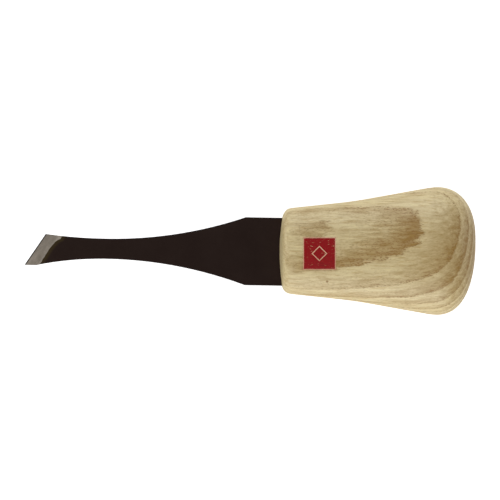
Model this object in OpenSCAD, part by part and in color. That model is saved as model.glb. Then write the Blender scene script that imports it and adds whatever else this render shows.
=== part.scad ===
// Skiving knife for leather: a skewed, single-bevel steel blade glued into a palm
// handle of ash. X runs along the tool with the edge at -X, +Y is the heel side of the
// edge, and the flat under the handle rests on Z = 0.

/* [Blade] */
// Length of steel in front of the handle, measured from the toe
blade_reach = 83.4; // [80:0.1:90]
// Thickness of the steel strip
blade_t = 2.1; // [1.8:0.1:2.5]
// Width of the shank where it enters the handle
shank_w = 22.2; // [21:0.1:23]
// Width of the neck at its narrowest
neck_w = 6.6; // [6:0.1:8]
// Distance from the toe back to the narrowest point of the neck
neck_back = 27; // [25:0.5:30]
// Radius of both hollow sides from the neck back to the shank
flare_r = 135.5; // [125:0.5:140]
// Radius of the hollow side from the neck forward to the toe
toe_side_r = 110; // [105:1:125]
// Radius of the hollow side from the neck forward to the heel of the edge
heel_side_r = 170; // [150:1:200]
// Half width of the steel at the toe
toe_half_w = 5.75; // [5.5:0.05:6]
// Angle of the edge from square across the blade
skew = 33.5; // [30:0.5:38]
// Width of the ground bevel, square to the edge
bevel_w = 3.9; // [3.5:0.1:5]
// Width of the honed strip along the edge
hone_w = 0.35; // [0.2:0.05:0.5]
// Angle of the honed strip to the flat back
hone_angle = 33; // [30:1:38]
// Angle by which the blade sits turned in the handle
blade_turn = 1; // [0:0.1:2]
// Sideways shift of the blade in the handle
blade_shift = -0.25; // [-0.5:0.05:0.5]

/* [Tang] */
// Length of steel inside the handle
tang_l = 34; // [28:1:38]
// Corner cut at the end of the tang
tang_chamfer = 3; // [1:0.5:5]
// Diameter of the two holes that lock the glue
key_d = 5; // [4:0.5:6]
// Distance of the two locking holes from the front of the handle
key_xs = [11, 24]; // [9:0.5:26]
// Thickness of glue between the steel and the slot
glue_gap = 0.15; // [0.1:0.05:0.3]
// Depth of the unfilled mouth of the slot
glue_set_back = 1.3; // [1.1:0.1:2]

/* [Handle] */
// Length of the handle
handle_l = 63.6; // [60:0.2:68]
// Height of the blade's middle above the flat under the handle
mid_h = 10; // [9.5:0.1:10]
// Half width, height above the blade and depth below it, all taken at the front
front_size = [13.7, 8.4, 10.1]; // [8:0.1:15]
// Growth of each of those along the handle, in front of the knee, in degrees
fore_angles = [6.1, 5, 2.2]; // [1:0.1:8]
// Growth of each of those along the handle, behind the knee, in degrees
aft_angles = [10.2, 10, 2.2]; // [1:0.1:12]
// Distance of the knee from the front
knee_x = 24.3; // [20:0.1:30]
// Half of the length over which the knee turns
knee_blend = 4; // [2:0.5:8]
// Distance of the widest section from the front
dome_x = 48.3; // [44:0.1:52]
// Roundness of the rear dome, where 2 is an ellipse
dome_power = 2.32; // [2:0.01:2.6]
// Roundness of the cross-section, where 2 is an ellipse
section_power = 2.3; // [2:0.05:2.8]
// Sideways and upward shift of the dome's end
apex_shift = [4.6, 1.5]; // [0:0.1:5]
// Radius of the edge around the front face
front_r = 2.8; // [2:0.1:3.5]
// Bow of the front face
front_bow = 0.8; // [0.4:0.1:1.2]
// How much further that edge is drawn in on the heel side
heel_draw = 1.45; // [1:0.05:1.6]

/* [Printed patch] */
// Side of the printed square
patch_w = 10.5; // [8:0.1:12]
// Middle of the square from the front of the handle, and from its centre line
patch_at = [12.8, -0.8]; // [-2:0.1:14]
// Thickness of the ink
ink_t = 0.06; // [0.05:0.01:0.1]

/* [Hidden] */

// The toe and the back of the dome lie at equal distances from X = 0
front_x = (blade_reach * cos(blade_turn) + toe_half_w * sin(blade_turn) - handle_l) / 2;
neck_x = neck_back - blade_reach;
slot_l = tang_l + 1;
waste = 12;
clear = 1;

ring_points = 56;
face_rings = 2;
edge_rings = 6;
body_step = 2.4;
dome_rings = 14;
edge_start = 10;
apex_shift_power = 1.4;
ink_cells = 7;
ink_soak = 0.3;

// ---- the blade, with its flat back on Z = 0 and the handle's front at X = 0 ----

// Grinds a hollow into each side of a child, both deepest at the neck
module hollow_sides(left_r, right_r) {
    difference() {
        children();
        translate([neck_x, neck_w / 2 + left_r]) circle(left_r, $fn = 720);
        translate([neck_x, -neck_w / 2 - right_r]) circle(right_r, $fn = 720);
    }
}

// The tang is as wide as the shank, with its two far corners cut
module tang_plan() {
    polygon([
        [neck_x, -shank_w / 2], [tang_l - tang_chamfer, -shank_w / 2],
        [tang_l, tang_chamfer - shank_w / 2], [tang_l, shank_w / 2 - tang_chamfer],
        [tang_l - tang_chamfer, shank_w / 2], [neck_x, shank_w / 2]
    ]);
}

module blade_plan() {
    hollow_sides(heel_side_r, toe_side_r)
        translate([-blade_reach, -toe_half_w]) square([neck_back, 2 * toe_half_w]);
    hollow_sides(flare_r, flare_r) tang_plan();
}

// What the grinder takes off: all that is in front of the edge or above the bevel
module ground_away() {
    translate([-blade_reach, -toe_half_w, 0]) rotate(-skew) rotate([90, 0, 0])
        linear_extrude(2 * shank_w, center = true)
            polygon([
                [-waste, -clear], [0, -clear], [0, 0], [hone_w, hone_w * tan(hone_angle)],
                [bevel_w, blade_t], [bevel_w, blade_t + clear], [-waste, blade_t + clear]
            ]);
}

module steel() {
    difference() {
        linear_extrude(blade_t) blade_plan();
        ground_away();
        for (x = key_xs)
            translate([x, 0, -clear]) cylinder(d = key_d, h = blade_t + 2 * clear, $fn = 48);
    }
}

// Moves a child from the blade's own frame to its place in the tool
module in_handle() {
    translate([front_x, blade_shift, mid_h - blade_t / 2]) rotate(-blade_turn) children();
}

// The sawn slot, or the part of it behind x0
module slot(x0) {
    translate([x0, -shank_w / 2 - glue_gap, -glue_gap])
        cube([slot_l - x0, shank_w + 2 * glue_gap, blade_t + 2 * glue_gap]);
}

// ---- the handle, swept through rings of points from its front to its back ----

// A ramp that starts at d = 0, rounded over knee_blend on either side
function soft_ramp(d) =
    d <= -knee_blend ? 0 : d >= knee_blend ? d : pow(d + knee_blend, 2) / (4 * knee_blend);

// Half width, height or depth at x, for i = 0, 1 or 2
function size_at(i, x) =
    front_size[i] + tan(fore_angles[i]) * x
    + (tan(aft_angles[i]) - tan(fore_angles[i])) * soft_ramp(x - knee_x);

// The rings, each as its x, its scale and how far it is drawn in all round
face_list = [for (i = [1:face_rings])
    let (s = i / (face_rings + 1)) [front_bow * s * s, s, front_r]];
edge_list = [for (i = [0:edge_rings - 1])
    let (a = edge_start + (90 - edge_start) * i / edge_rings)
        [front_bow + front_r * (1 - cos(a)), 1, front_r * (1 - sin(a))]];
body_x0 = front_bow + front_r;
body_count = round((dome_x - body_x0) / body_step);
body_list = [for (i = [0:body_count - 1])
    [body_x0 + (dome_x - body_x0) * i / body_count, 1, 0]];
dome_list = [for (i = [0:dome_rings - 1])
    let (a = 90 * i / dome_rings)
        [dome_x + (handle_l - dome_x) * pow(sin(a), 2 / dome_power), pow(cos(a), 2 / dome_power), 0]];
ring_list = concat(face_list, edge_list, body_list, dome_list);

function signed_pow(v, p) = sign(v) * pow(abs(v), p);

function ring(station) =
    let (
        x = station[0], s = station[1], drawn_in = station[2],
        half = [for (i = [0:2]) (size_at(i, x) - drawn_in) * s],
        mid_y = apex_shift[0] * pow(1 - s, apex_shift_power),
        mid_z = mid_h + apex_shift[1] * (1 - s)
    )
    [for (j = [0:ring_points - 1])
        let (
            a = 360 * j / ring_points,
            across = signed_pow(cos(a), 2 / section_power),
            up = signed_pow(sin(a), 2 / section_power),
            side = half[0] - (across > 0 ? (heel_draw - 1) * drawn_in * s : 0)
        )
        [front_x + x, mid_y + side * across, mid_z + (up > 0 ? half[1] : half[2]) * up]];

module palm_shape() {
    rings = len(ring_list);
    points = concat(
        [for (station = ring_list) each ring(station)],
        [[front_x, 0, mid_h],
         [front_x + handle_l, apex_shift[0], mid_h + apex_shift[1]]]
    );
    front_pole = rings * ring_points;
    back_pole = front_pole + 1;
    last = (rings - 1) * ring_points;
    faces = concat(
        [for (j = [0:ring_points - 1]) [front_pole, j, (j + 1) % ring_points]],
        [for (i = [0:rings - 2], j = [0:ring_points - 1])
            let (a = i * ring_points + j, b = i * ring_points + (j + 1) % ring_points)
                each [[a, b + ring_points, b], [a, a + ring_points, b + ring_points]]],
        [for (j = [0:ring_points - 1]) [back_pole, last + (j + 1) % ring_points, last + j]]
    );
    polyhedron(points, faces, convexity = 4);
}

// ---- the printed square, a sheet of ink that follows the top of the handle ----

function top_z(x, y) =
    mid_h + size_at(1, x)
    * pow(1 - pow(abs(y) / size_at(0, x), section_power), 1 / section_power);

// The points of one side of the sheet, at a height above the wood
function sheet_side(lift) =
    [for (i = [0:ink_cells], j = [0:ink_cells])
        let (
            x = patch_at[0] + patch_w * (i / ink_cells - 0.5),
            y = patch_at[1] + patch_w * (j / ink_cells - 0.5)
        )
        [front_x + x, y, top_z(x, y) + lift]];

module ink_sheet() {
    row = ink_cells + 1;
    under = row * row;
    // The points around the rim, anticlockwise from above
    rim = concat(
        [for (i = [0:ink_cells - 1]) i * row],
        [for (j = [0:ink_cells - 1]) ink_cells * row + j],
        [for (i = [ink_cells:-1:1]) i * row + ink_cells],
        [for (j = [ink_cells:-1:1]) j]
    );
    faces = concat(
        [for (i = [0:ink_cells - 1], j = [0:ink_cells - 1])
            let (a = i * row + j, b = a + row)
                each [[a, a + 1, b + 1], [a, b + 1, b],
                      [under + a, under + b + 1, under + a + 1], [under + a, under + b, under + b + 1]]],
        [for (k = [0:len(rim) - 1])
            let (a = rim[k], b = rim[(k + 1) % len(rim)])
                each [[a, b, under + b], [a, under + b, under + a]]]
    );
    polyhedron(concat(sheet_side(ink_t), sheet_side(-ink_soak)), faces, convexity = 2);
}

// ---- the pieces ----

module blade() {
    color([0.16, 0.12, 0.1]) in_handle() steel();
}

module handle() {
    color([0.85, 0.76, 0.58])
        difference() {
            palm_shape();
            translate([front_x - clear, -2 * shank_w, -2 * clear])
                cube([handle_l + 2 * clear, 4 * shank_w, 2 * clear]);
            in_handle() slot(-clear);
        }
}

module tang_epoxy() {
    color([0.72, 0.55, 0.3])
        in_handle()
            difference() {
                slot(glue_set_back);
                steel();
            }
}

module ink_patch() {
    color([0.6, 0.08, 0.1])
        difference() {
            ink_sheet();
            palm_shape();
        }
}

blade();
handle();
tang_epoxy();
ink_patch();
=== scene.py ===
# Skiving knife: a dark steel blade with a bright skewed bevel, glued into a palm handle of ash.
import math

import bpy
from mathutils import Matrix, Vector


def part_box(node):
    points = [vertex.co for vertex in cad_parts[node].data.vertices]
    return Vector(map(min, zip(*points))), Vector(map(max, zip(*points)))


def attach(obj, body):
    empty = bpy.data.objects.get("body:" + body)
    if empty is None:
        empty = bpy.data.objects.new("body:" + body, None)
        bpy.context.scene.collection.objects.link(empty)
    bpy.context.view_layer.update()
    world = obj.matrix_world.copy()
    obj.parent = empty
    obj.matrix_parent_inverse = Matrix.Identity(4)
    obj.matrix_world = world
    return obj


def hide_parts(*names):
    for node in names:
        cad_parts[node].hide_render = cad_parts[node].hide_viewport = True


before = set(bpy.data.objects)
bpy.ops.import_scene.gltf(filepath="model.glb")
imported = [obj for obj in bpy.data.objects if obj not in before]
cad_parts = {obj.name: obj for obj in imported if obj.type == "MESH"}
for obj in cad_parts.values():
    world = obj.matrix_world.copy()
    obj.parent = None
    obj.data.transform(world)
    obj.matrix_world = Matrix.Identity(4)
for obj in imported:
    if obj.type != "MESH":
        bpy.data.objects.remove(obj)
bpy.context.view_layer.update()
mm = 0.001

handleLow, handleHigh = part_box("handle")
bladeLow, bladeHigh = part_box("blade")
frontX = handleLow.x
bladeMidZ = (bladeLow.z + bladeHigh.z) / 2


def lonely(piece):
    bpy.ops.object.select_all(action="DESELECT")
    piece.select_set(True)
    bpy.context.view_layer.objects.active = piece


def mark(piece, vertexTest):
    # selects vertices by their place, and leaves the piece in edit mode
    bpy.ops.object.mode_set(mode="OBJECT")
    mesh = piece.data
    for part in (mesh.vertices, mesh.edges, mesh.polygons):
        part.foreach_set("select", [False] * len(part))
    bpy.context.tool_settings.mesh_select_mode = (True, False, False)
    for vertex in mesh.vertices:
        vertex.select = bool(vertexTest(vertex.co))
    bpy.ops.object.mode_set(mode="EDIT")


def leaveEdit():
    bpy.ops.object.mode_set(mode="OBJECT")


def useModifier(piece, kind, **settings):
    lonely(piece)
    modifier = piece.modifiers.new(kind.title(), kind)
    for name, value in settings.items():
        setattr(modifier, name, value)
    bpy.ops.object.modifier_apply(modifier=modifier.name)


def nameIt(piece, name):
    piece.name = name
    piece.data.name = name


# node helpers
def put(tree, kind, x, y, **settings):
    # adds a shader node; a setting is one of its properties or one of its sockets
    node = tree.nodes.new(kind)
    node.location = (x, y)
    for name, value in settings.items():
        if hasattr(node, name):
            setattr(node, name, value)
        else:
            node.inputs[name.replace("_", " ")].default_value = value
    return node


def wire(tree, source, target):
    tree.links.new(source, target)


def newMaterial(name):
    material = bpy.data.materials.new(name)
    material.use_nodes = True
    material.node_tree.nodes.clear()
    return material, material.node_tree


def ramp(tree, x, y, stops, ease="LINEAR"):
    node = tree.nodes.new("ShaderNodeValToRGB")
    node.location = (x, y)
    node.color_ramp.interpolation = ease
    while len(node.color_ramp.elements) < len(stops):
        node.color_ramp.elements.new(0.5)
    for element, (place, value) in zip(node.color_ramp.elements, stops):
        element.position = place
        element.color = (value, value, value, 1) if isinstance(value, float) else (*value, 1)
    return node


def maths(tree, operation, x, y, first, second=None, third=None, clamp=False):
    node = tree.nodes.new("ShaderNodeMath")
    node.operation = operation
    node.location = (x, y)
    node.use_clamp = clamp
    for slot, value in zip(node.inputs, (first, second, third)):
        if value is None:
            continue
        if isinstance(value, (int, float)):
            slot.default_value = value
        else:
            tree.links.new(value, slot)
    return node.outputs[0]


def blendColours(tree, x, y, amount, first, second, mode="MIX"):
    node = tree.nodes.new("ShaderNodeMix")
    node.data_type = "RGBA"
    node.blend_type = mode
    node.location = (x, y)
    for slot, value in zip((node.inputs[0], node.inputs[6], node.inputs[7]), (amount, first, second)):
        if isinstance(value, (int, float)):
            slot.default_value = value
        elif isinstance(value, tuple):
            slot.default_value = (*value, 1)
        else:
            tree.links.new(value, slot)
    return node.outputs[2]


def noise(tree, x, y, vector, scale, detail, roughness=0.5):
    node = put(tree, "ShaderNodeTexNoise", x, y, Scale=scale, Detail=detail, Roughness=roughness)
    tree.links.new(vector, node.inputs["Vector"])
    return node.outputs["Fac"]


def stretch(tree, x, y, vector, scale):
    node = put(tree, "ShaderNodeMapping", x, y, Scale=scale)
    tree.links.new(vector, node.inputs["Vector"])
    return node.outputs["Vector"]


def placed(tree, x, y, origin, turn=0.0):
    # object coordinates in millimetres from an origin, turned about Z
    coordinates = put(tree, "ShaderNodeTexCoord", x - 200, y)
    mapping = put(tree, "ShaderNodeMapping", x, y, Scale=(1 / mm, 1 / mm, 1 / mm), Rotation=(0, 0, turn))
    east, north, up = (-value / mm for value in origin)
    mapping.inputs["Location"].default_value = (
        east * math.cos(turn) - north * math.sin(turn),
        east * math.sin(turn) + north * math.cos(turn),
        up,
    )
    tree.links.new(coordinates.outputs["Object"], mapping.inputs["Vector"])
    return mapping.outputs["Vector"]


# camera, lights and floor
studio = {
    "middle": (0.40 * mm, 0.33 * mm),  # what the camera looks straight down at
    "fieldWidth": 163.5 * mm,  # width of the view at the height of the blade
    "lens": 100,
    "sensor": 36,
    "skyStrength": 0.13,  # what the sky gives in light
    "skyWhite": 0.88,  # and what the camera sees of it
    "floorGlow": 0.2,  # what lights the tool from below
    "floorWhite": 0.8,  # and what the camera sees
    "floorTone": 0.8,
    "lampAim": (0.02, 0, 0.01),
    "lamps": [
        # name, place, size, watts
        ("nearSoftbox", (-0.02, -0.42, 0.20), 0.45, 1.7),
        ("farSoftbox", (-0.02, 0.42, 0.22), 0.40, 1.2),
        ("frontSoftbox", (-0.46, 0.05, 0.22), 0.35, 0.55),
        ("backSoftbox", (0.48, 0.05, 0.14), 0.35, 0.45),
    ],
}


def buildStudio():
    view = bpy.data.cameras.new("studioCamera")
    view.lens = studio["lens"]
    view.sensor_width = studio["sensor"]
    view.clip_start = 0.01
    camera = bpy.data.objects.new("studioCamera", view)
    bpy.context.scene.collection.objects.link(camera)
    distance = studio["fieldWidth"] * studio["lens"] / studio["sensor"]
    camera.location = (*studio["middle"], bladeMidZ + distance)
    bpy.context.scene.camera = camera

    world = bpy.data.worlds.new("softSky")
    world.use_nodes = True
    sky = world.node_tree.nodes["Background"]
    sky.inputs["Color"].default_value = (1.0, 0.99, 0.97, 1)
    path = put(world.node_tree, "ShaderNodeLightPath", -600, 0)
    seen = studio["skyWhite"] - studio["skyStrength"]
    strength = maths(world.node_tree, "MULTIPLY_ADD", -300, 0, path.outputs["Is Camera Ray"],
                     seen, studio["skyStrength"])
    wire(world.node_tree, strength, sky.inputs["Strength"])
    bpy.context.scene.world = world
    bpy.context.scene.view_settings.view_transform = "Standard"

    for name, place, size, watts in studio["lamps"]:
        light = bpy.data.lights.new(name, "AREA")
        light.size = size
        light.energy = watts
        lamp = bpy.data.objects.new(name, light)
        bpy.context.scene.collection.objects.link(lamp)
        lamp.location = place
        towards = Vector(studio["lampAim"]) - lamp.location
        lamp.rotation_euler = towards.to_track_quat("-Z", "Y").to_euler()

    bpy.ops.mesh.primitive_plane_add(size=6, location=(0, 0, 0))
    floor = bpy.context.object
    nameIt(floor, "floor")
    paper, tree = newMaterial("whitePaper")
    surface = put(tree, "ShaderNodeBsdfPrincipled", 0, 0, Roughness=0.9)
    surface.inputs["Base Color"].default_value = (*(studio["floorTone"],) * 3, 1)
    surface.inputs["Emission Color"].default_value = (1, 1, 1, 1)
    path = put(tree, "ShaderNodeLightPath", -400, -200)
    seen = studio["floorWhite"] - studio["floorGlow"]
    glow = maths(tree, "MULTIPLY_ADD", -200, -200, path.outputs["Is Camera Ray"], seen, studio["floorGlow"])
    wire(tree, glow, surface.inputs["Emission Strength"])
    out = put(tree, "ShaderNodeOutputMaterial", 300, 0)
    wire(tree, surface.outputs[0], out.inputs[0])
    floor.data.materials.append(paper)


# shared shader groups
ash = {
    # the growth rings' depth in the wood, in mm, is z and these parts of the other directions
    "lean": 0.215,  # y
    "dip": -0.0395,  # x
    "bow": -0.0028,  # x * x
    "cup": 0.0056,  # y * y
    "twist": 0.00115,  # x * y
    "droop": -7.9e-6,  # x * x * x
    "fan": -8.6e-5,  # x * y * y
    # the number of the ring at a depth
    "firstRing": -0.824,
    "ringsPerDepth": 0.302,
    "widening": -0.004,
    "wander": 0.7,  # mm
    "feather": 0.5,  # how far the fibres pull the edge of a ring, in rings
    "heartPull": 1.1,  # how the rings past the first one crowd together
    "heelShift": -0.25,  # and how they move on the +Y side, in rings
    # spots per mm along the tool, across it and through it
    "broadWave": (0.045, 0.12, 0.12),
    "fineWave": (0.16, 0.55, 0.55),
    "fibres": (0.17, 1.4, 1.7),
    "streaks": (0.12, 0.7, 0.9),
    "pores": (1.2, 2.6, 3.2),
    "rowPores": (1.2, 3.6, 4.5),
    "pinKnot": (15.2, -9.8, 8.0),
    "pale": (0.80, 0.665, 0.37),
    "brown": (0.38, 0.225, 0.058),
    "poreBrown": (0.31, 0.155, 0.042),
}


def ashGrainGroup():
    tree = bpy.data.node_groups.new("ashGrain", "ShaderNodeTree")
    tree.interface.new_socket("Place", in_out="INPUT", socket_type="NodeSocketVector")
    for name, kind in (("Color", "NodeSocketColor"), ("Roughness", "NodeSocketFloat"),
                       ("Height", "NodeSocketFloat"), ("Pores", "NodeSocketFloat")):
        tree.interface.new_socket(name, in_out="OUTPUT", socket_type=kind)
    start = put(tree, "NodeGroupInput", -2200, 0)
    place = start.outputs["Place"]

    # growth rings: nearly flat layers that lean, bow and wander a little
    wander = noise(tree, -2000, 300, stretch(tree, -2150, 300, place, ash["broadWave"]), 1.0, 2.0)
    wavy = noise(tree, -2000, 100, stretch(tree, -2150, 100, place, ash["fineWave"]), 1.0, 3.0)
    split = put(tree, "ShaderNodeSeparateXYZ", -3200, 0)
    wire(tree, place, split.inputs[0])
    x, y, depth = split.outputs
    longSquare = maths(tree, "MULTIPLY", -3000, 200, x, x)
    crossSquare = maths(tree, "MULTIPLY", -3000, 50, y, y)
    parts = [
        (y, ash["lean"]),
        (x, ash["dip"]),
        (longSquare, ash["bow"]),
        (crossSquare, ash["cup"]),
        (maths(tree, "MULTIPLY", -3000, -100, x, y), ash["twist"]),
        (maths(tree, "MULTIPLY", -3000, -250, longSquare, x), ash["droop"]),
        (maths(tree, "MULTIPLY", -3000, -400, crossSquare, x), ash["fan"]),
        (maths(tree, "SUBTRACT", -1800, 300, wander, 0.5), ash["wander"]),
        (maths(tree, "SUBTRACT", -1800, 100, wavy, 0.5), ash["wander"]),
    ]
    for index, (part, share) in enumerate(parts):
        depth = maths(tree, "MULTIPLY_ADD", -2800 + 140 * index, -100, part, share, depth)
    # fibres and pores run along the rings, so they are stretched in x and follow the depth
    layers = put(tree, "ShaderNodeCombineXYZ", -1700, -700)
    for slot, source in zip(layers.inputs, (x, y, depth)):
        wire(tree, source, slot)
    layers = layers.outputs[0]
    fibre = noise(tree, -1500, -500, stretch(tree, -1650, -500, layers, ash["fibres"]), 1.0, 4.0, 0.7)
    slope = maths(tree, "MULTIPLY_ADD", -1550, -100, depth, ash["widening"], ash["ringsPerDepth"])
    rings = maths(tree, "MULTIPLY_ADD", -1450, 0, depth, slope, ash["firstRing"])
    heart = maths(tree, "MAXIMUM", -1400, 150, maths(tree, "SUBTRACT", -1450, 150, rings, 1.0), 0.0)
    inner = maths(tree, "MULTIPLY_ADD", -1400, -150, rings, 2.5, -1.5, clamp=True)
    heelward = maths(tree, "MULTIPLY", -1450, -250, y, 0.11, clamp=True)
    inner = maths(tree, "MULTIPLY", -1400, -250, inner, heelward)
    rings = maths(tree, "MULTIPLY_ADD", -1350, -200, inner, ash["heelShift"], rings)
    heart = maths(tree, "MULTIPLY", -1350, 150, heart, heart)
    rings = maths(tree, "MULTIPLY_ADD", -1300, 0, heart, ash["heartPull"], rings)
    pull = maths(tree, "SUBTRACT", -1350, -50, fibre, 0.5)
    rings = maths(tree, "MULTIPLY_ADD", -1250, 0, pull, ash["feather"], rings)
    age = maths(tree, "FRACT", -1200, 0, rings)

    # brown, porous early wood starts sharply and fades into pale late wood
    early = ramp(tree, -1050, 0, [
        (0.0, 0.5), (0.03, 0.95), (0.14, 0.95), (0.3, 0.82),
        (0.45, 0.58), (0.65, 0.26), (0.96, 0.0), (1.0, 0.5),
    ])
    wire(tree, age, early.inputs[0])
    # the rings show most in the middle of the block, least near its ends and sides;
    # this ramp spans the rings from -3 to 5
    shown = ramp(tree, -1250, -200, [
        (0.0, 0.5), (0.36, 0.65), (0.4, 0.45), (0.49, 0.52), (0.51, 1.0), (0.59, 1.0), (0.64, 0.6),
    ])
    wire(tree, maths(tree, "MULTIPLY_ADD", -1350, -200, rings, 0.125, 0.375), shown.inputs[0])
    frontFade = maths(tree, "MULTIPLY_ADD", -1250, -300, x, 0.09, 0.2, clamp=True)
    sideFade = maths(tree, "MULTIPLY_ADD", -1250, -400, y, -0.1, 1.9, clamp=True)
    sideFade = maths(tree, "MAXIMUM", -1200, -400, sideFade, 0.4)
    shown = maths(tree, "MULTIPLY", -1150, -200, shown.outputs[0], frontFade)
    shown = maths(tree, "MULTIPLY", -1100, -200, shown, sideFade)
    early = maths(tree, "MULTIPLY", -1000, -100, early.outputs[0], shown)
    firstRow = ramp(tree, -1050, 250, [(0.0, 1.0), (0.08, 1.0), (0.15, 0.0), (0.95, 0.0), (1.0, 1.0)])
    wire(tree, age, firstRow.inputs[0])

    streak = noise(tree, -1500, -700, stretch(tree, -1650, -700, layers, ash["streaks"]), 1.0, 3.0, 0.6)
    poreField = noise(tree, -1500, -900, stretch(tree, -1650, -900, layers, ash["pores"]), 1.0, 2.0, 0.6)
    dotField = noise(tree, -1500, -1100, stretch(tree, -1650, -1100, layers, ash["rowPores"]), 1.0, 1.0, 0.5)

    poreMask = ramp(tree, -1200, -900, [(0.0, 0.0), (0.53, 0.0), (0.64, 1.0), (1.0, 1.0)])
    wire(tree, poreField, poreMask.inputs[0])
    dotMask = ramp(tree, -1200, -1100, [(0.0, 0.0), (0.52, 0.0), (0.60, 1.0), (1.0, 1.0)])
    wire(tree, dotField, dotMask.inputs[0])
    porous = maths(tree, "MULTIPLY_ADD", -900, -700, early, 0.85, 0.12)
    pores = maths(tree, "MULTIPLY", -800, -800, poreMask.outputs[0], porous)
    bigPores = maths(tree, "MULTIPLY", -800, -950, dotMask.outputs[0], firstRow.outputs[0])
    behindFront = maths(tree, "MULTIPLY", -850, -1050, x, 0.035, clamp=True)
    bigPores = maths(tree, "MULTIPLY", -750, -1000, bigPores, behindFront)
    pores = maths(tree, "MAXIMUM", -700, -850, pores, bigPores)
    away = put(tree, "ShaderNodeVectorMath", -900, -1200, operation="DISTANCE")
    wire(tree, place, away.inputs[0])
    away.inputs[1].default_value = ash["pinKnot"]
    knot = maths(tree, "MULTIPLY_ADD", -800, -1200, away.outputs["Value"], -6.0, 2.9, clamp=True)
    pores = maths(tree, "MAXIMUM", -600, -850, pores, knot)

    # the tones of the two woods, with painted shade browning the middle of the rear dome, then the streaks,
    # fibres and pores over them
    # painted shade: the middle of the rear dome, where it slopes away from the lamps, is coloured browner
    paintedRearShade = maths(tree, "MULTIPLY_ADD", -1150, -250, x, 0.05, -1.7, clamp=True)
    central = maths(tree, "MULTIPLY_ADD", -1150, -450, crossSquare, -0.0035, 1.0, clamp=True)
    paintedRearShade = maths(tree, "MULTIPLY", -1100, -300, paintedRearShade, central)
    base = maths(tree, "MULTIPLY", -1150, -350, early, 0.8)
    base = maths(tree, "MULTIPLY_ADD", -1050, -250, paintedRearShade, 0.46, base)
    streak = maths(tree, "SUBTRACT", -1000, -100, streak, 0.47)
    streaky = maths(tree, "MULTIPLY_ADD", -900, 0, streak, 1.1, base, clamp=True)
    tone = blendColours(tree, -550, 200, streaky, ash["pale"], ash["brown"])
    fibreTone = ramp(tree, -700, -400, [
        (0.3, (0.80, 0.70, 0.54)), (0.5, (1.0, 1.0, 1.0)), (0.7, (1.10, 1.13, 1.17)),
    ])
    wire(tree, fibre, fibreTone.inputs[0])
    tone = blendColours(tree, -400, 200, 0.9, tone, fibreTone.outputs[0], "MULTIPLY")
    poreTint = maths(tree, "MULTIPLY", -400, -300, pores, 0.8)
    tone = blendColours(tree, -250, 200, poreTint, tone, ash["poreBrown"])

    rough = maths(tree, "MULTIPLY_ADD", -250, -100, pores, 0.2, 0.44)
    ridges = maths(tree, "MULTIPLY", -400, -450, fibre, 0.25)
    height = maths(tree, "SUBTRACT", -250, -300, ridges, pores)
    out = put(tree, "NodeGroupOutput", 0, 0)
    wire(tree, tone, out.inputs["Color"])
    wire(tree, rough, out.inputs["Roughness"])
    wire(tree, height, out.inputs["Height"])
    wire(tree, pores, out.inputs["Pores"])
    return tree


def finishSurface(tree, colour, roughness, height, strength, depth, **shader):
    surface = put(tree, "ShaderNodeBsdfPrincipled", 300, 0, **shader)
    wire(tree, colour, surface.inputs["Base Color"])
    wire(tree, roughness, surface.inputs["Roughness"])
    bump = put(tree, "ShaderNodeBump", 100, -300, Strength=strength, Distance=depth)
    wire(tree, height, bump.inputs["Height"])
    wire(tree, bump.outputs[0], surface.inputs["Normal"])
    out = put(tree, "ShaderNodeOutputMaterial", 600, 0)
    wire(tree, surface.outputs[0], out.inputs[0])
    return surface


handleOrigin = (frontX, 0.0, bladeMidZ)


def ashMaterial(grain):
    material, tree = newMaterial("sandedAsh")
    group = put(tree, "ShaderNodeGroup", -200, 0)
    group.node_tree = grain
    wire(tree, placed(tree, -400, 0, handleOrigin), group.inputs["Place"])
    finishSurface(tree, group.outputs["Color"], group.outputs["Roughness"], group.outputs["Height"],
                  0.35, 0.05 * mm, IOR=1.5)
    return material


# the handle
handle = {
    "length": 63.6 * mm,
    "frontHalf": (13.7 * mm, 8.4 * mm, 10.1 * mm),  # half width, height and depth at the front
    "foreAngles": (6.1, 5.0, 2.2),  # how fast each grows, in degrees, in front of the knee
    "aftAngles": (10.2, 10.0, 2.2),  # and behind it
    "knee": 24.3 * mm,
    "kneeBlend": 4 * mm,
    "dome": 48.3 * mm,  # where the rear dome starts
    "domePower": 2.32,
    "apexShift": (4.6 * mm, 1.5 * mm),
    "frontRound": 2.8 * mm,
    "frontBow": 0.8 * mm,
    "heelDraw": 1.45,  # the front edge is rounder on the +Y side
    "cornerProfile": 0.5473,  # bevel profile of a superellipse with the exponent 2.3
    "cornerSteps": 12,
    "slotGap": 0.153 * mm,  # a hair more than the glue
    "slotDepth": 35 * mm,
}
blade = {
    "reach": 83.4 * mm,
    "shankWidth": 22.2 * mm,
    "thickness": 2.1 * mm,
    "toeHalf": 5.75 * mm,
    "turn": math.radians(1),
    "shift": -0.25 * mm,
    "skew": math.radians(33.5),
    "bevel": 3.9,  # mm, square to the edge
    "hone": 0.35,
}


def softRamp(distance):
    blend = handle["kneeBlend"]
    if distance <= -blend:
        return 0
    return distance if distance >= blend else (distance + blend) ** 2 / (4 * blend)


def sizeAt(index, x):
    fore = math.tan(math.radians(handle["foreAngles"][index]))
    aft = math.tan(math.radians(handle["aftAngles"][index]))
    return handle["frontHalf"][index] + fore * x + (aft - fore) * softRamp(x - handle["knee"])


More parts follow.
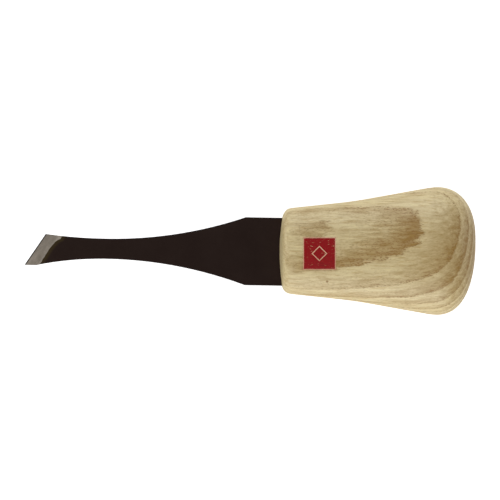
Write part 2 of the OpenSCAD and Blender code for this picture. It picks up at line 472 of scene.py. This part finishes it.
def handleStations():
    # each ring of the sweep: distance from the front, scale, how far it is drawn in
    bow, edge, dome = handle["frontBow"], handle["frontRound"], handle["dome"]
    rings = [(bow * share ** 2, share, edge) for share in (0.2, 0.45, 0.7, 0.88)]
    for step in range(6):
        angle = math.radians(8 + 82 * step / 6)
        rings.append((bow + edge * (1 - math.cos(angle)), 1, edge * (1 - math.sin(angle))))
    bodySteps = 16
    for step in range(bodySteps):
        rings.append((bow + edge + (dome - bow - edge) * step / bodySteps, 1, 0))
    domeSteps = 16
    for step in range(domeSteps):
        angle = math.pi / 2 * step / domeSteps
        power = 2 / handle["domePower"]
        out = math.sin(angle) ** power
        rings.append((dome + (handle["length"] - dome) * out, math.cos(angle) ** power, 0))
    return rings


def buildHandle():
    # a square with its corners bevelled into a superellipse, swept from the front to the back
    bpy.ops.object.select_all(action="DESELECT")
    bpy.ops.mesh.primitive_plane_add(size=2 * mm, location=handleOrigin, rotation=(0, -math.pi / 2, 0))
    piece = bpy.context.object
    nameIt(piece, "ashHandle")
    bpy.ops.object.transform_apply(location=True, rotation=True, scale=True)
    mark(piece, vertexTest=lambda place: True)
    bpy.ops.mesh.bevel(offset_type="PERCENT", offset_pct=50, segments=handle["cornerSteps"],
                       profile=handle["cornerProfile"], affect="VERTICES", clamp_overlap=False)
    bpy.ops.mesh.select_all(action="SELECT")
    bpy.ops.mesh.remove_doubles(threshold=0.0001 * mm)

    last = {"x": frontX, "y": 0.0, "z": bladeMidZ, "half": (mm, mm, mm, mm)}
    for index, (x, share, drawn) in enumerate(handleStations()):
        half = [(sizeAt(i, x) - drawn) * share for i in range(3)]
        half.append(half[0] - (handle["heelDraw"] - 1) * drawn * share)
        middleY = handle["apexShift"][0] * (1 - share) ** 1.4 if x >= handle["dome"] else 0.0
        middleZ = bladeMidZ + (handle["apexShift"][1] * (1 - share) if x >= handle["dome"] else 0.0)
        mark(piece, vertexTest=lambda place: abs(place.x - last["x"]) < 0.0005 * mm)
        move = (frontX + x - last["x"], middleY - last["y"], middleZ - last["z"])
        if index:
            bpy.ops.mesh.extrude_region_move(TRANSFORM_OT_translate={"value": move})
        else:
            bpy.ops.transform.translate(value=move)

        # each side of the ring grows on its own
        here = frontX + x
        sides = [
            (0, 1, lambda place: place.y < middleY),
            (3, 1, lambda place: place.y > middleY),
            (1, 2, lambda place: place.z > middleZ),
            (2, 2, lambda place: place.z < middleZ),
        ]
        for which, axis, test in sides:
            growth = [1, 1, 1]
            growth[axis] = half[which] / last["half"][which]
            mark(piece, vertexTest=lambda place: abs(place.x - here) < 0.0005 * mm and test(place))
            bpy.ops.transform.resize(value=growth, center_override=(here, middleY, middleZ))
        last = {"x": here, "y": middleY, "z": middleZ, "half": half}

    # the back closes in a pole, and the underside is sanded flat
    mark(piece, vertexTest=lambda place: abs(place.x - last["x"]) < 0.0005 * mm)
    bpy.ops.mesh.poke()
    mark(piece, vertexTest=lambda place: abs(place.x - last["x"]) < 0.0005 * mm
         and abs(place.y - last["y"]) < 0.2 * mm and abs(place.z - last["z"]) < 0.2 * mm)
    bpy.ops.transform.translate(value=(frontX + handle["length"] - last["x"], 0, 0))
    leaveEdit()
    useModifier(piece, "SUBSURF", levels=1, render_levels=1)
    mark(piece, vertexTest=lambda place: place.z < 0)
    bpy.ops.transform.resize(value=(1, 1, 0), center_override=(0, 0, 0))
    leaveEdit()
    print("handle swept:", len(piece.data.polygons), "faces")
    return piece


def cutSlot(piece):
    # the sawn slot for the tang, a box turned with the blade
    gap = handle["slotGap"]
    bpy.ops.object.select_all(action="DESELECT")
    bpy.ops.mesh.primitive_cube_add(size=1, location=(handle["slotDepth"] / 2 - 2 * mm, 0, 0))
    saw = bpy.context.object
    saw.scale = (handle["slotDepth"] + 4 * mm, blade["shankWidth"] + 2 * gap, blade["thickness"] + 2 * gap)
    bpy.ops.object.transform_apply(location=True, rotation=True, scale=True)
    saw.rotation_euler = (0, 0, -blade["turn"])
    saw.location = (frontX, blade["shift"], bladeMidZ)
    bpy.ops.object.transform_apply(location=True, rotation=True, scale=True)
    useModifier(piece, "BOOLEAN", operation="DIFFERENCE", object=saw, solver="EXACT")
    bpy.data.objects.remove(saw)


def finishHandle(piece, material):
    cutSlot(piece)
    lonely(piece)
    bpy.ops.object.shade_smooth_by_angle(angle=math.radians(32))
    piece.data.materials.clear()
    piece.data.materials.append(material)
    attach(piece, "root")
    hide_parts("handle")
    print("handle slotted:", len(piece.data.polygons), "faces")


# the blade
steel = {
    "softEdge": 0.12 * mm,
    "oxide": (0.018, 0.0088, 0.0064),
    "oxideWorn": (0.030, 0.0175, 0.0135),
    "ground": (0.33, 0.29, 0.245),
    "groundDark": (0.17, 0.145, 0.115),
    "groundFlatPaintedBright": (0.52, 0.46, 0.39),  # level metal, coloured brighter as a painted reflection of the lamps that it mirrors less of
    # painted shade: the honed strip is coloured near black for the dark it mirrors
    "honed": (0.014, 0.013, 0.012),
    "tint": (0.050, 0.034, 0.011),  # heat tint just behind the bevel
    "tintWidth": 1.6,  # mm
    # how far back the ground area runs, in mm: more than the bevel, and most at the heel end
    "edgeLength": 13.8,
    "groundExtra": 0.45,
    "groundTaper": -0.04,
    "heelFlare": 1.25,
}


def toePoint():
    turn = blade["turn"]
    east, north = -blade["reach"], -blade["toeHalf"]
    return (
        frontX + east * math.cos(turn) + north * math.sin(turn),
        blade["shift"] - east * math.sin(turn) + north * math.cos(turn),
        bladeLow.z,
    )


def edgeDistance(place):
    # how far a point lies behind the line of the cutting edge, seen from above
    turn = blade["turn"] + blade["skew"]
    toe = toePoint()
    return (place.x - toe[0]) * math.cos(turn) - (place.y - toe[1]) * math.sin(turn)


def buildBlade():
    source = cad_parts["blade"]
    piece = bpy.data.objects.new("steelBlade", source.data.copy())
    bpy.context.scene.collection.objects.link(piece)
    nameIt(piece, "steelBlade")
    lonely(piece)
    bpy.ops.object.mode_set(mode="EDIT")
    bpy.ops.mesh.select_all(action="SELECT")
    bpy.ops.mesh.remove_doubles(threshold=0.001 * mm)
    bpy.ops.mesh.dissolve_limited(angle_limit=math.radians(0.1))

    # every corner is eased except the cutting edge and the line above the honed strip
    bpy.ops.mesh.select_all(action="DESELECT")
    bpy.context.tool_settings.mesh_select_mode = (False, True, False)
    bpy.ops.mesh.edges_select_sharp(sharpness=math.radians(15))
    leaveEdit()
    keen = 0.02 * mm
    for edge in piece.data.edges:
        ends = [piece.data.vertices[index].co for index in edge.vertices]
        if all(edgeDistance(place) < keen for place in ends):
            edge.select = False
    bpy.ops.object.mode_set(mode="EDIT")
    bpy.ops.mesh.bevel(offset=steel["softEdge"], segments=3, profile=0.5, clamp_overlap=True)
    leaveEdit()
    bpy.ops.object.shade_smooth_by_angle(angle=math.radians(40))
    useModifier(piece, "WEIGHTED_NORMAL", keep_sharp=True)
    print("blade eased:", len(piece.data.polygons), "faces")
    return piece


def bladeMaterial():
    material, tree = newMaterial("blackenedSteel")
    turn = blade["turn"] + blade["skew"]
    place = placed(tree, -2400, 0, toePoint(), turn)
    split = put(tree, "ShaderNodeSeparateXYZ", -2200, 0)
    wire(tree, place, split.inputs[0])
    back, along = split.outputs["X"], split.outputs["Y"]
    facing = put(tree, "ShaderNodeTexCoord", -2400, 600)
    tilt = put(tree, "ShaderNodeSeparateXYZ", -2200, 600)
    wire(tree, facing.outputs["Normal"], tilt.inputs[0])
    # bare metal shows only on faces turned up: the blade's sides stay oxide, and the eased rims of the bevel
    # are kept oxide dark as a painted shade line
    upward = ramp(tree, -2000, 600, [(0.77, 0.0), (0.86, 1.0)])
    wire(tree, tilt.outputs["Z"], upward.inputs[0])

    # the ground bevel runs back a little further at the heel of the edge
    jitter = noise(tree, -2000, 300, stretch(tree, -2200, 300, place, (0.3, 1.1, 1)), 1.0, 3.0)
    jitter = maths(tree, "SUBTRACT", -1700, 400, jitter, 0.5)
    flare = maths(tree, "DIVIDE", -1900, 300, along, steel["edgeLength"], clamp=True)
    flare = maths(tree, "POWER", -1800, 300, flare, 8.0)
    toeWidth = blade["bevel"] + steel["groundExtra"]
    heel = maths(tree, "MULTIPLY_ADD", -1750, 200, along, steel["groundTaper"], toeWidth)
    heel = maths(tree, "MULTIPLY_ADD", -1700, 300, flare, steel["heelFlare"], heel)
    heel = maths(tree, "MULTIPLY_ADD", -1600, 300, jitter, 0.35, heel)
    behind = maths(tree, "SUBTRACT", -1500, 200, back, heel)
    ground = maths(tree, "MULTIPLY_ADD", -1400, 200, behind, -6.0, 0.5, clamp=True)
    ground = maths(tree, "MULTIPLY", -1300, 200, ground, upward.outputs[0])
    # the honed strip along the edge, where near black is painted as shade
    honed = maths(tree, "MULTIPLY_ADD", -1400, 50, back, -12.0, blade["hone"] * 12 + 0.5, clamp=True)
    tint = ramp(tree, -1400, -100, [(0.0, 1.0), (0.35, 0.8), (1.0, 0.0)], "EASE")
    tintPlace = maths(tree, "DIVIDE", -1500, -100, behind, steel["tintWidth"], clamp=True)
    wire(tree, tintPlace, tint.inputs[0])

    # oxide: fine mottling, a few rubbed streaks along the strip
    grit = noise(tree, -2000, -400, stretch(tree, -2200, -400, place, (3.0, 3.0, 3.0)), 1.0, 5.0, 0.7)
    cloud = noise(tree, -2000, -600, stretch(tree, -2200, -600, place, (0.12, 0.12, 0.12)), 1.0, 3.0, 0.6)
    alongStrip = placed(tree, -2400, -800, toePoint(), blade["turn"])
    draw = noise(tree, -2000, -800, stretch(tree, -2200, -800, alongStrip, (0.12, 5.0, 5.0)), 1.0, 3.0, 0.6)
    worn = maths(tree, "MULTIPLY", -1800, -600, cloud, 0.45)
    worn = maths(tree, "MULTIPLY_ADD", -1700, -500, grit, 0.55, worn)
    wornRamp = ramp(tree, -1500, -500, [(0.38, 0.0), (0.68, 1.0)])
    wire(tree, worn, wornRamp.inputs[0])
    rubbed = maths(tree, "MULTIPLY", -1300, -500, wornRamp.outputs[0], 0.6)
    oxide = blendColours(tree, -1200, -400, rubbed, steel["oxide"], steel["oxideWorn"])
    tinted = maths(tree, "MULTIPLY", -1200, -150, tint.outputs[0], 0.85)
    oxide = blendColours(tree, -1050, -400, tinted, oxide, steel["tint"])

    # grinding marks run square to the edge
    marks = noise(tree, -2000, -1000, stretch(tree, -2200, -1000, place, (0.5, 14.0, 1.0)), 1.0, 4.0, 0.7)
    bands = noise(tree, -2000, -1200, stretch(tree, -2200, -1200, place, (0.5, 0.35, 1.0)), 1.0, 2.0, 0.5)
    sheen = maths(tree, "MULTIPLY", -1700, -1100, bands, 0.5)
    sheen = maths(tree, "MULTIPLY_ADD", -1600, -1000, marks, 0.6, sheen)
    sheen = maths(tree, "MULTIPLY_ADD", -1350, -1000, sheen, 2.2, -0.75, clamp=True)
    bare = blendColours(tree, -1200, -900, sheen, steel["groundDark"], steel["ground"])
    # painted reflection: ground metal on the level face past the bevel is coloured brighter
    flat = maths(tree, "MULTIPLY_ADD", -1200, -1050, back, 2.0, 0.5 - 2 * blade["bevel"], clamp=True)
    bare = blendColours(tree, -1130, -900, flat, bare, steel["groundFlatPaintedBright"])
    bare = blendColours(tree, -1050, -900, honed, bare, steel["honed"])
    colour = blendColours(tree, -700, 0, ground, oxide, bare)

    rough = maths(tree, "MULTIPLY_ADD", -900, -200, grit, 0.25, 0.45)
    groundRough = maths(tree, "MULTIPLY_ADD", -900, -350, marks, 0.3, 0.22)
    groundRough = maths(tree, "MULTIPLY_ADD", -800, -350, flat, 0.3, groundRough)
    roughness = put(tree, "ShaderNodeMix", -700, -250)
    wire(tree, ground, roughness.inputs[0])
    wire(tree, rough, roughness.inputs[2])
    wire(tree, groundRough, roughness.inputs[3])
    relief = put(tree, "ShaderNodeMix", -700, -450)
    wire(tree, ground, relief.inputs[0])
    oxideRelief = maths(tree, "MULTIPLY_ADD", -900, -550, grit, 1.0, draw)
    wire(tree, oxideRelief, relief.inputs[2])
    wire(tree, marks, relief.inputs[3])
    surface = finishSurface(tree, colour, roughness.outputs[0], relief.outputs[0], 0.25, 0.03 * mm,
                            Specular_IOR_Level=0.12)
    metallic = maths(tree, "MULTIPLY", -500, -100, ground, 0.9)
    wire(tree, metallic, surface.inputs["Metallic"])
    return material


def finishBlade(piece, material):
    piece.data.materials.clear()
    piece.data.materials.append(material)
    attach(piece, "root")
    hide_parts("blade")


# the printed square
ink = {
    "side": 10.5 * mm,
    "middle": (12.65 * mm, -0.8 * mm),  # from the front of the handle, and from its centre line
    "cells": 48,
    "lift": 0.02 * mm,
    "thickness": 0.03 * mm,
    "red": (0.31, 0.003, 0.006),
    "redThin": (0.35, 0.012, 0.014),
    "pink": (0.85, 0.45, 0.34),
    "keylineAt": 5.08,  # mm from the middle
    "keylineWidth": 0.26,
    "diamond": 2.3,
    "diamondWidth": 0.4,
    "ragged": 0.22,  # how much the rim and the line wander
    "redInPores": (0.10, 0.008, 0.008),
}


def buildInk(wood):
    bpy.ops.object.select_all(action="DESELECT")
    bpy.ops.mesh.primitive_grid_add(
        x_subdivisions=ink["cells"], y_subdivisions=ink["cells"], size=ink["side"],
        location=(frontX + ink["middle"][0], ink["middle"][1], handleHigh.z + 5 * mm),
    )
    piece = bpy.context.object
    nameIt(piece, "inkSquare")
    bpy.ops.object.transform_apply(location=True, rotation=True, scale=True)
    useModifier(piece, "SHRINKWRAP", target=wood, wrap_method="PROJECT", use_project_z=True,
                use_negative_direction=True, use_positive_direction=False, offset=ink["lift"])
    useModifier(piece, "SOLIDIFY", thickness=ink["thickness"], offset=1.0)
    lonely(piece)
    bpy.ops.object.shade_smooth_by_angle(angle=math.radians(50))
    print("ink laid on:", len(piece.data.polygons), "faces")
    return piece


def inkMaterial(grain):
    material, tree = newMaterial("redInkOnAsh")
    place = placed(tree, -1400, 300, handleOrigin)
    group = put(tree, "ShaderNodeGroup", -1000, 300)
    group.node_tree = grain
    wire(tree, place, group.inputs["Place"])
    local = placed(tree, -1400, -300, (frontX + ink["middle"][0], ink["middle"][1], bladeMidZ))
    split = put(tree, "ShaderNodeSeparateXYZ", -1200, -300)
    wire(tree, local, split.inputs[0])
    sideways = maths(tree, "ABSOLUTE", -1000, -250, split.outputs["X"])
    lengthways = maths(tree, "ABSOLUTE", -1000, -400, split.outputs["Y"])
    square = maths(tree, "MAXIMUM", -850, -250, sideways, lengthways)
    diamond = maths(tree, "ADD", -850, -400, sideways, lengthways)
    ragged = noise(tree, -1200, -600, stretch(tree, -1350, -600, place, (1.5, 3.0, 3.0)), 1.0, 4.0, 0.7)
    square = maths(tree, "MULTIPLY_ADD", -700, -250, ragged, ink["ragged"], square)
    diamond = maths(tree, "MULTIPLY_ADD", -700, -400, ragged, 0.3, diamond)

    # bare wood: a thin line at the rim, a plain diamond, the ragged rim itself and worn specks
    line = maths(tree, "COMPARE", -550, -200, square, ink["keylineAt"] + ink["ragged"] / 2,
                 ink["keylineWidth"] / 2)
    lozenge = maths(tree, "COMPARE", -550, -350, diamond, ink["diamond"] + 0.15, ink["diamondWidth"] / 2)
    rim = maths(tree, "GREATER_THAN", -550, -500, square, ink["side"] / mm / 2 + 0.17)
    specks = noise(tree, -1200, -800, stretch(tree, -1350, -800, place, (1.0, 3.4, 3.4)), 1.0, 3.0, 0.6)
    worn = ramp(tree, -1000, -800, [(0.635, 0.0), (0.73, 1.0)])
    wire(tree, specks, worn.inputs[0])
    lines = maths(tree, "MAXIMUM", -450, -250, line, lozenge)
    gaps = maths(tree, "MAXIMUM", -450, -500, rim, worn.outputs[0])
    bare = maths(tree, "MAXIMUM", -400, -300, lines, gaps)
    thin = maths(tree, "MULTIPLY", -700, 100, ragged, 0.8)
    red = blendColours(tree, -600, 100, thin, ink["red"], ink["redThin"])
    sunken = maths(tree, "MULTIPLY", -500, 0, group.outputs["Pores"], 0.5)
    red = blendColours(tree, -400, 100, sunken, red, ink["redInPores"])
    pinkShare = maths(tree, "MULTIPLY", -400, -100, lines, 0.6)
    light = blendColours(tree, -300, -100, pinkShare, group.outputs["Color"], ink["pink"])
    colour = blendColours(tree, -150, 100, bare, red, light)
    rough = maths(tree, "MULTIPLY_ADD", -150, -100, ragged, 0.2, 0.38)
    finishSurface(tree, colour, rough, group.outputs["Height"], 0.3, 0.05 * mm, Specular_IOR_Level=0.25)
    return material


def finishInk(piece, material):
    piece.data.materials.clear()
    piece.data.materials.append(material)
    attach(piece, "root")
    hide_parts("ink_patch")


# the glue in the slot
glue = {
    "deep": (0.30, 0.17, 0.05),
    "clear": (0.46, 0.30, 0.11),
}


def glueMaterial():
    material, tree = newMaterial("setEpoxy")
    place = placed(tree, -900, 0, handleOrigin)
    cloud = noise(tree, -600, 100, place, 0.5, 3.0, 0.6)
    bubbles = noise(tree, -600, -200, place, 4.0, 2.0, 0.5)
    colour = blendColours(tree, -300, 100, cloud, glue["deep"], glue["clear"])
    rough = maths(tree, "MULTIPLY_ADD", -300, -100, bubbles, 0.25, 0.18)
    finishSurface(tree, colour, rough, bubbles, 0.3, 0.05 * mm, IOR=1.55)
    return material


def finishGlue(material):
    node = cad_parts["tang_epoxy"]
    node.data.materials.clear()
    node.data.materials.append(material)
    print("glue coloured")


buildStudio()
print("studio ready")
grain = ashGrainGroup()
handlePiece = buildHandle()
finishHandle(handlePiece, ashMaterial(grain))
bladePiece = buildBlade()
finishBlade(bladePiece, bladeMaterial())
inkPiece = buildInk(handlePiece)
finishInk(inkPiece, inkMaterial(grain))
finishGlue(glueMaterial())
